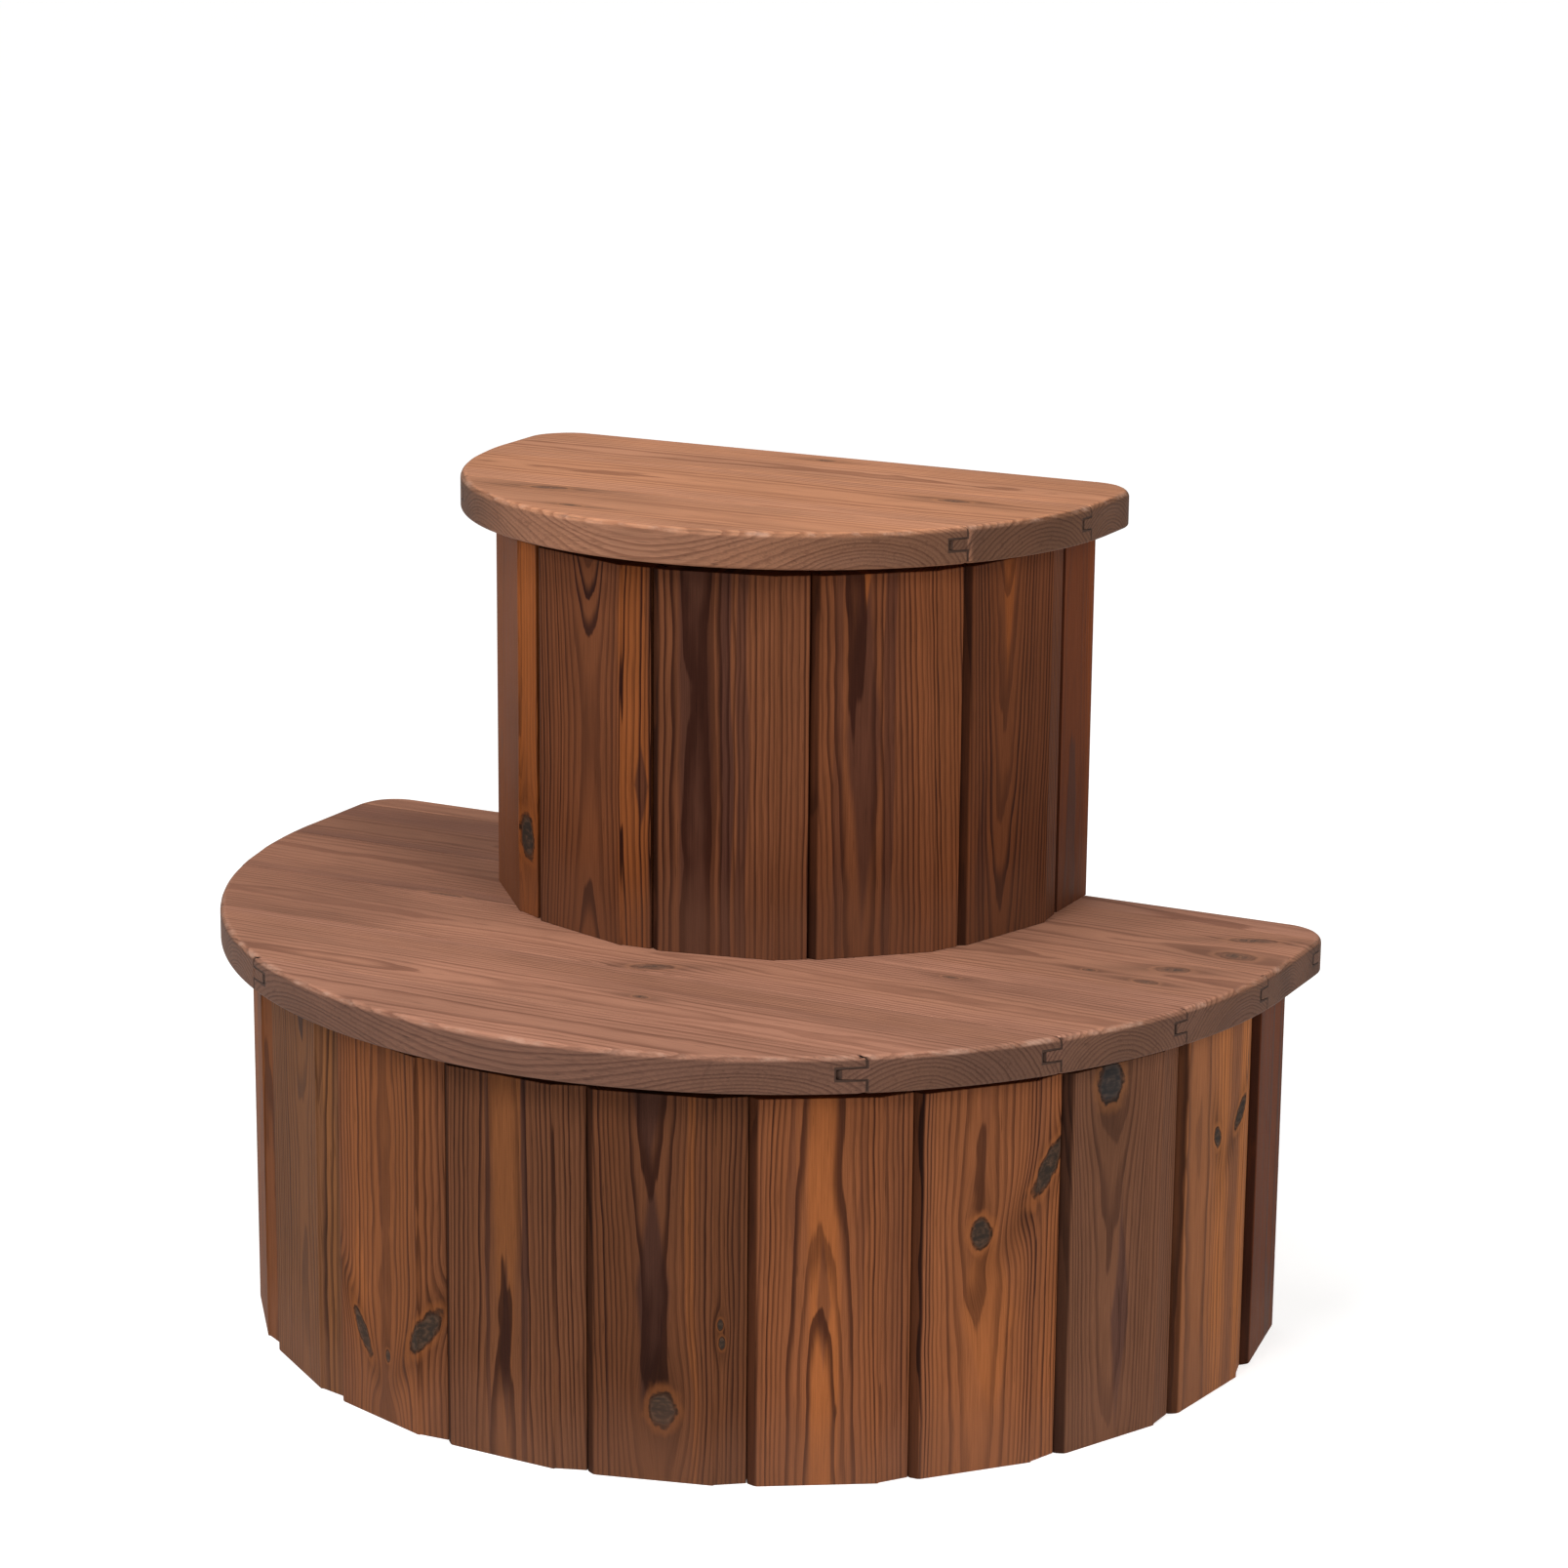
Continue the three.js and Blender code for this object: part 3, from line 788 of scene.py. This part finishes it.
def joint_shade_line(g, across, depth, rear, front):
    """Painted shade: a dark line round the tongue at a board's front joint and round the groove at its rear
    one.
    """
    shoulder = 0.0007
    ahead = g.math("SUBTRACT", across, front)
    past_shoulder = above(g, ahead, -shoulder)
    round_tongue = g.math("SUBTRACT", past_shoulder, within(g, depth, ahead, TONGUE))
    behind = g.math("SUBTRACT", across, rear)
    round_groove = g.math("MAXIMUM", below(g, behind, shoulder), within(g, depth, behind, GROOVE))
    return g.math("MAXIMUM", round_tongue, round_groove)


def above(g, value, level, soft=0.00025):
    return g.ramp(value, level - soft, level + soft)


def below(g, value, level, soft=0.00025):
    return g.ramp(value, level - soft, level + soft, 1.0, 0.0)


def within(g, depth, out, profile):
    """1 inside a tongue's or a groove's section, 0 outside."""
    level = g.math("MULTIPLY", above(g, depth, profile["top"]), below(g, depth, profile["bottom"]))
    return g.math("MULTIPLY", level, below(g, out, profile["length"]))


def inset_from_rim(g, module, board_y, across, along):
    """Distance in from the rim or the back edge, in the board's frame: x runs forward, z to the right."""
    ahead = g.math("MAXIMUM", g.math("ADD", across, module["centre_y"] - board_y), 0.0)
    reach = g.vector("LENGTH", g.join(ahead, 0.0, g.math("SUBTRACT", along, module["tread_x"])))
    inset = g.math("SUBTRACT", module["half"], reach)
    from_side = g.math("MAXIMUM", g.math("SUBTRACT", module["corner"], inset), 0.0)
    from_back = g.math("SUBTRACT", module["corner"] - BACK_Y + board_y, across)
    from_back = g.math("MAXIMUM", from_back, 0.0)
    rounded = g.math("SUBTRACT", module["corner"], g.vector("LENGTH", g.join(from_side, from_back)))
    return g.math("MINIMUM", inset, rounded)


def tread_material(name, seed, module, board_y, rear, front):
    """Paler, drier timber, worn in patches along the rounded rim, and darker on the rim itself: browner
    wood there plus painted shade.
    """
    tones = LOWER_TREAD_TONES if module is LOWER else UPPER_TREAD_TONES
    material, g, shader = start_material(name)
    point, timber = grow(g, {**grain_of(name, seed), **TREAD_GRAIN}, tones, seed)
    colour = timber["Color"]

    # Long thin dark dashes along the grain.
    shifted = g.vector("ADD", point, (seed, seed, seed))
    dashes = g.ramp(g.noise(shifted, (230, 230, 5), detail=3.0, roughness=0.6), 0.57, 0.72)
    colour = g.mix(g.math("MULTIPLY", dashes, 0.55), colour, tones["late"])

    # The rim is darker than the top and its end grain more so, partly browner wood and partly painted
    # shade; the joints get painted shade inside.
    across, depth, along = g.split(point)
    inset = inset_from_rim(g, module, board_y, across, along)
    normal = g.node("ShaderNodeTexCoord").outputs["Normal"]
    facing_up = g.math("MULTIPLY", g.split(normal)[1], -1.0)
    top = g.math("MULTIPLY", g.ramp(facing_up, 0.20, 0.75), g.ramp(depth, 0.0035, 0.0055, 1.0, 0.0))
    colour = g.mix(top, g.mix(1.0, colour, RIM_BROWN_AND_PAINTED_SHADE[module["name"]], "MULTIPLY"), colour)
    end_grain = g.ramp(g.math("ABSOLUTE", g.split(normal)[2]), 0.25, 0.85)
    colour = g.mix(end_grain, colour, g.mix(1.0, colour, END_GRAIN_BROWN_AND_PAINTED_SHADE[module["name"]], "MULTIPLY"))
    # Painted shade: the faces inside the joints, and a thin line round each tongue and groove, are painted
    # near black for the shade in the gaps.
    inside = g.math("MULTIPLY", g.ramp(depth, 0.0006, 0.0020), g.ramp(depth, 0.0235, 0.0250, 1.0, 0.0))
    inside = g.math("MULTIPLY", inside, g.ramp(inset, 0.0004, 0.0030))
    line = g.math("MULTIPLY", joint_shade_line(g, across, depth, rear, front), g.math("SUBTRACT", 0.85, top))
    inside = g.math("MAXIMUM", inside, line)
    colour = g.mix(inside, colour, JOINT_PAINTED_SHADE)

    edge = g.math("MULTIPLY", g.ramp(inset, 0.0003, 0.006, 1.0, 0.0), top)
    scuffs = g.noise(point, (60, 60, 30), detail=5.0, roughness=0.7)
    worn = g.math("MULTIPLY", edge, g.ramp(scuffs, 0.46, 0.68, 0.0, 0.50))
    colour = g.mix(worn, colour, WORN_TONE)
    g.put(shader["Base Color"], colour)
    g.put(shader["Roughness"], g.ramp(timber["Fibre"], 0.2, 0.8, 0.66, 0.80))
    g.put(shader["Specular IOR Level"], 0.14)
    bump = g.node("ShaderNodeBump", {"Height": timber["Height"], "Strength": 0.7, "Distance": 0.0005})
    g.put(shader["Normal"], bump.outputs[0])
    return material


def frame_wood_material(name, seed):
    """Paler, rougher timber for the posts and battens."""
    material, g, shader = start_material(name)
    _, timber = grow(g, grain_of(name, seed), FRAME_TONES, seed)
    g.put(shader["Base Color"], timber["Color"])
    g.put(shader["Roughness"], 0.78)
    g.put(shader["Specular IOR Level"], 0.15)
    bump = g.node("ShaderNodeBump", {"Height": timber["Height"], "Strength": 0.8, "Distance": 0.0006})
    g.put(shader["Normal"], bump.outputs[0])
    return material


def plywood_material():
    """Faces with rotary-cut grain, and edges with alternating plies."""
    material, g, shader = start_material("plywood")
    point = g.node("ShaderNodeTexCoord").outputs["Object"]
    height = g.split(point)[2]
    plies = g.math("FRACT", g.math("MULTIPLY", height, 1.0 / 0.0030))
    lines = g.ramp(plies, 0.46, 0.54)
    wave = g.noise(point, (3.0, 26, 3.0), detail=4.0, roughness=0.6)
    face = g.mix(g.ramp(wave, 0.35, 0.65), (0.47, 0.29, 0.155), (0.60, 0.40, 0.23))
    fibre = g.noise(point, (40, 900, 900), detail=2.0)
    face = g.mix(g.ramp(fibre, 0.3, 0.7, 0.0, 0.22), face, (0.28, 0.16, 0.08))
    edge = g.mix(lines, (0.50, 0.33, 0.18), (0.27, 0.155, 0.08))
    normal = g.node("ShaderNodeTexCoord").outputs["Normal"]
    flat = g.ramp(g.math("ABSOLUTE", g.split(normal)[2]), 0.5, 0.9)
    g.put(shader["Base Color"], g.mix(flat, edge, face))
    g.put(shader["Roughness"], 0.8)
    g.put(shader["Specular IOR Level"], 0.2)
    bump = g.node("ShaderNodeBump", {"Height": fibre, "Strength": 0.4, "Distance": 0.0004})
    g.put(shader["Normal"], bump.outputs[0])
    return material


def steel_material():
    """Bright steel with faint smears."""
    material, g, shader = start_material("screw_steel")
    point = g.node("ShaderNodeTexCoord").outputs["Object"]
    smears = g.noise(point, (900, 900, 900), detail=3.0)
    g.put(shader["Base Color"], g.mix(smears, (0.60, 0.61, 0.62), (0.78, 0.78, 0.77)))
    g.put(shader["Metallic"], 1.0)
    g.put(shader["Roughness"], g.ramp(smears, 0.3, 0.7, 0.26, 0.44))
    return material


# Pieces -------------------------------------------------------------------------------------------


def cad_solid(node, place):
    """The CAD node's solid in the frame `place`, with its triangles joined into whole faces."""
    solid = bmesh.new()
    solid.from_mesh(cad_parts[node].data)
    bmesh.ops.remove_doubles(solid, verts=solid.verts, dist=WELD)
    bmesh.ops.transform(solid, matrix=place.inverted(), verts=solid.verts)
    bmesh.ops.dissolve_limit(solid, angle_limit=math.radians(0.4), verts=solid.verts, edges=solid.edges)
    return solid


def ease(solid, width, wanted=lambda edge: True, segments=2, least_angle=20):
    """Rounds the sharp edges that `wanted` picks."""
    sharp = [
        edge
        for edge in solid.edges
        if edge.is_manifold and edge.calc_face_angle() > math.radians(least_angle) and wanted(edge)
    ]
    bmesh.ops.bevel(
        solid, geom=sharp, offset=width, segments=segments, profile=0.5, affect="EDGES", clamp_overlap=True
    )


def piece_from(solid, name, place, material, node):
    """Turns a bmesh in the frame `place` into a smooth-shaded piece that stands for a CAD node."""
    bmesh.ops.remove_doubles(solid, verts=solid.verts, dist=WELD)
    bmesh.ops.dissolve_degenerate(solid, dist=WELD, edges=solid.edges)
    mesh = bpy.data.meshes.new(name)
    solid.to_mesh(mesh)
    solid.free()
    piece = bpy.data.objects.new(name, mesh)
    bpy.context.scene.collection.objects.link(piece)
    piece.matrix_world = place
    mesh.materials.clear()
    mesh.materials.append(material)
    shade(piece)
    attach(piece, "root")
    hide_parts(node)


def shade(piece):
    """Smooth shading between sharp edges, with normals that keep the wide faces flat."""
    piece.data.shade_smooth()
    piece.data.set_sharp_from_angle(angle=math.radians(40))
    weighted = piece.modifiers.new("weighted normals", "WEIGHTED_NORMAL")
    weighted.keep_sharp = True
    weighted.weight = 90


def stave_place(module, index):
    """The frame of stave `index`: x to the right along its face, y inwards, z up."""
    side = module["name"] == "upper" and index in (0, module["staves"] - 1)
    left = (index - module["staves"] / 2) * module["step"]
    turn = math.radians(math.copysign(90, left) if side else left + module["turn"])
    face = SIDE_FACE if side else module["face"]
    out = Vector((math.sin(turn), -math.cos(turn), 0))
    along = Vector((math.cos(turn), math.sin(turn), 0))
    origin = Vector((module["body_x"], module["centre_y"], module["floor"])) + face * out
    return frame_matrix(along, -out, Vector((0, 0, 1)), origin)


def frame_matrix(x, y, z, origin):
    matrix = Matrix((x, y, z)).transposed().to_4x4()
    matrix.translation = origin
    return matrix


def build_staves(module, seed):
    """Every stave of a module, its bevel rounded and its other arrises eased."""
    for index in range(module["staves"]):
        name = f"{module['name']}_stave_{index + 1:02d}"
        place = stave_place(module, index)
        solid = cad_solid(name, place)
        ease(solid, BEVEL_ROUND, on_left_bevel, segments=3)
        ease(solid, STAVE_ARRIS)
        material = stave_material(name, seed + index)
        piece_from(solid, f"{name}_timber", place, material, name)


def on_left_bevel(edge):
    """The upright edges at both sides of a stave's left bevel."""
    a, b = (vert.co for vert in edge.verts)
    upright = abs(a.z - b.z) > 0.1
    return upright and a.x < 0 and a.y < 0.0065


def tread_outline(module, inset, height, wear=0.0):
    """Points round a tread, `inset` from its rim: half circle, straight sides and round back corners."""
    half = module["half"] - inset
    corner = module["corner"] - inset
    middle = module["tread_x"]
    hub = module["half"] - module["corner"]
    hub_y = BACK_Y - module["corner"]
    arcs = [
        (middle, module["centre_y"], half, -90, 90, 128),
        (middle + hub, hub_y, corner, 90, 180, 14),
        (middle - hub, hub_y, corner, 180, 270, 14),
    ]
    points = []
    for x, y, radius, start, end, steps in arcs:
        for i in range(steps + 1):
            a = math.radians(start + (end - start) * i / steps)
            spot = Vector((x + radius * math.sin(a), y - radius * math.cos(a), height))
            worn = wear * noise.noise(spot * 38.0)
            spot -= Vector((math.sin(a), -math.cos(a), 0)) * max(0.0, worn)
            points.append(spot)
    return points


def rounded_slab(module):
    """A tread-shaped slab with a rounded rim, a hair thicker than the boards that it trims."""
    top = module["floor"] + RISE + 0.00005
    bottom = top - PLANK - 0.0001
    angles = [math.pi / 2 * i / RIM_ROUND["steps"] for i in range(RIM_ROUND["steps"] + 1)]
    rings = []
    for a in angles:
        inset = RIM_ROUND["lower"] * (1 - math.sin(a))
        rings.append((inset, bottom + RIM_ROUND["lower"] * (1 - math.cos(a)), 0.0))
    for a in angles:
        inset = RIM_ROUND["upper"] * (1 - math.cos(a))
        height = top - RIM_ROUND["upper"] * (1 - math.sin(a))
        rings.append((inset, height, RIM_ROUND["wear"] * math.sin(a)))
    slab = bmesh.new()
    loops = []
    for inset, height, wear in rings:
        points = tread_outline(module, inset + 0.00004, height, wear)
        loops.append([slab.verts.new(point) for point in points])
    for low, high in zip(loops, loops[1:]):
        for i in range(len(low)):
            j = (i + 1) % len(low)
            slab.faces.new((low[i], low[j], high[j], high[i]))
    slab.faces.new(list(reversed(loops[0])))
    slab.faces.new(loops[-1])
    bmesh.ops.recalc_face_normals(slab, faces=slab.faces)
    return slab


def scratch_object(solid, name):
    """An object to use in a boolean, which the caller removes."""
    mesh = bpy.data.meshes.new(name)
    solid.to_mesh(mesh)
    solid.free()
    made = bpy.data.objects.new(name, mesh)
    bpy.context.scene.collection.objects.link(made)
    return made


def intersected(solid, cutter):
    """The part of the bmesh `solid` that lies inside the object `cutter`."""
    target = scratch_object(solid, "to_trim")
    trim = target.modifiers.new("trim", "BOOLEAN")
    trim.operation = "INTERSECT"
    trim.solver = "EXACT"
    trim.object = cutter
    evaluated = target.evaluated_get(bpy.context.evaluated_depsgraph_get())
    result = bmesh.new()
    result.from_mesh(evaluated.to_mesh())
    bpy.data.objects.remove(target)
    return result


def build_tread(module, seed):
    """Every board of a module's tread, trimmed to one rounded rim."""
    slab = scratch_object(rounded_slab(module), "slab")
    top = module["floor"] + RISE
    for index in range(len(module["joints"]) + 1):
        name = f"{module['name']}_tread_board_{index + 1:02d}"
        low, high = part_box(name)
        board_y = (low.y + high.y) / 2
        origin = Vector((0, board_y, top))
        place = frame_matrix(Vector((0, -1, 0)), Vector((0, 0, -1)), Vector((1, 0, 0)), origin)
        solid = intersected(cad_solid(name, Matrix.Identity(4)), slab)
        bmesh.ops.transform(solid, matrix=place.inverted(), verts=solid.verts)
        edges = (-FAR, *module["joints"], FAR)
        rear, front = (edge - BACK_Y + board_y for edge in edges[index : index + 2])
        material = tread_material(name, seed + index, module, board_y, rear, front)
        piece_from(solid, f"{name}_timber", place, material, name)
    bpy.data.objects.remove(slab)


def build_frame(seed):
    """Formers, posts and battens, with their arrises eased."""
    plywood = plywood_material()
    for offset, name in enumerate(sorted(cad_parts)):
        if "former" in name:
            place = Matrix.Identity(4)
            material, slot = plywood, "plywood"
        elif "post" in name or "batten" in name:
            low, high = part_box(name)
            middle = (low + high) / 2
            if "batten" in name:
                place = frame_matrix(Vector((1, 0, 0)), Vector((0, 0, 1)), Vector((0, -1, 0)), middle)
            else:
                place = Matrix.Translation(middle)
            material, slot = frame_wood_material(name, seed + offset), "frame_wood"
        else:
            continue
        solid = cad_solid(name, place)
        ease(solid, FRAME_ARRIS, least_angle=30)
        piece_from(solid, f"{name}_eased", place, material, name)


def build_screws():
    """Pan-head screws with a star recess, pointing up into the upper module."""
    steel = steel_material()
    for name in sorted(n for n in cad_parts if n.startswith("module_screw")):
        low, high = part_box(name)
        place = Matrix.Translation(Vector(((low.x + high.x) / 2, (low.y + high.y) / 2, low.z)))
        solid = screw_solid(high.z - low.z)
        piece_from(solid, f"{name}_detailed", place, steel, name)


def screw_solid(length):
    """Head down at z = 0. The head is domed, with a six-lobed recess; the shank carries a thread."""
    head, shank = 0.0049, 0.0021
    profile = [
        (0.0026, 0.0012),
        (0.0030, 0.0002),
        (0.0040, 0.0004),
        (0.0047, 0.0011),
        (head, 0.0020),
        (head, 0.0028),
        (shank, 0.0030),
    ]
    pitch, z = 0.0018, 0.0052
    while z < length - 0.005:
        profile += [(shank, z), (0.00248, z + pitch * 0.35), (shank, z + pitch * 0.7)]
        z += pitch
    profile += [(shank, length - 0.0045), (0.0004, length - 0.0002)]
    solid = bmesh.new()
    steps = 36
    loops = []
    for i, (radius, height) in enumerate(profile):
        lobes = 0.10 if i == 0 else 0.0
        loop = []
        for k in range(steps):
            a = 2 * math.pi * k / steps
            r = radius * (1 + lobes * math.cos(6 * a))
            loop.append(solid.verts.new((r * math.cos(a), r * math.sin(a), height)))
        loops.append(loop)
    floor = [solid.verts.new((v.co.x * 0.92, v.co.y * 0.92, 0.0022)) for v in loops[0]]
    loops.insert(0, floor)
    for low, high in zip(loops, loops[1:]):
        for i in range(steps):
            j = (i + 1) % steps
            solid.faces.new((low[i], low[j], high[j], high[i]))
    solid.faces.new(list(reversed(loops[0])))
    solid.faces.new(loops[-1])
    bmesh.ops.recalc_face_normals(solid, faces=solid.faces)
    return solid


# Stage --------------------------------------------------------------------------------------------


def add_floor():
    """A pale floor that glows a little, so that it stays white right up into the background."""
    bpy.ops.mesh.primitive_plane_add(size=60, location=(0, 0, 0))
    floor = bpy.context.object
    floor.name = "floor"
    material, g, shader = start_material("floor")
    g.put(shader["Base Color"], (0.80, 0.80, 0.795))
    g.put(shader["Roughness"], 0.9)
    g.put(shader["Emission Color"], (1.0, 1.0, 0.995))
    g.put(shader["Emission Strength"], FLOOR_GLOW)
    floor.data.materials.append(material)


def add_box_light(name, at, aim, size, watts):
    data = bpy.data.lights.new(name, "AREA")
    data.shape = "DISK"
    data.size = size
    data.energy = watts
    data.color = LIGHT_COLOUR
    lamp = bpy.data.objects.new(name, data)
    lamp.location = at
    lamp.rotation_euler = (Vector(aim) - Vector(at)).to_track_quat("-Z", "Y").to_euler()
    bpy.context.scene.collection.objects.link(lamp)


def add_lights():
    """Box lights at the left, at the right and overhead, a soft sun in front and a white surround."""
    world = bpy.data.worlds.new("studio")
    world.use_nodes = True
    background = world.node_tree.nodes["Background"].inputs
    background["Color"].default_value = (1.0, 1.0, 1.0, 1.0)
    background["Strength"].default_value = SURROUND
    bpy.context.scene.world = world
    sun = bpy.data.lights.new("sun", "SUN")
    sun.energy = SUN["strength"]
    sun.angle = math.radians(SUN["spread"])
    lamp = bpy.data.objects.new("sun", sun)
    lamp.rotation_euler = Vector(SUN["from"]).to_track_quat("Z", "Y").to_euler()
    bpy.context.scene.collection.objects.link(lamp)
    for name, light in BOX_LIGHTS.items():
        add_box_light(name, **light)


def add_camera():
    """The camera. `back` points from the object to it."""
    yaw, pitch, roll = (math.radians(CAMERA[key]) for key in ("yaw", "pitch", "roll"))
    back = Vector((math.sin(yaw) * math.cos(pitch), -math.cos(yaw) * math.cos(pitch), math.sin(pitch)))
    right = (-back).cross(Vector((0, 0, 1))).normalized()
    up = right.cross(-back)
    rolled_right = math.cos(roll) * right + math.sin(roll) * up
    rolled_up = -math.sin(roll) * right + math.cos(roll) * up
    data = bpy.data.cameras.new("camera")
    data.sensor_width = 36.0
    data.lens = LENS["mm"]
    data.shift_x, data.shift_y = LENS["shift"]
    camera = bpy.data.objects.new("camera", data)
    camera.matrix_world = frame_matrix(rolled_right, rolled_up, back, Vector(CAMERA["at"]))
    bpy.context.scene.collection.objects.link(camera)
    bpy.context.scene.camera = camera


add_camera()
add_floor()
add_lights()
bpy.context.scene.view_settings.view_transform = "Standard"
for number, module in enumerate((LOWER, UPPER)):
    build_staves(module, 100 + 40 * number)
    build_tread(module, 120 + 40 * number)
build_frame(200)
build_screws()
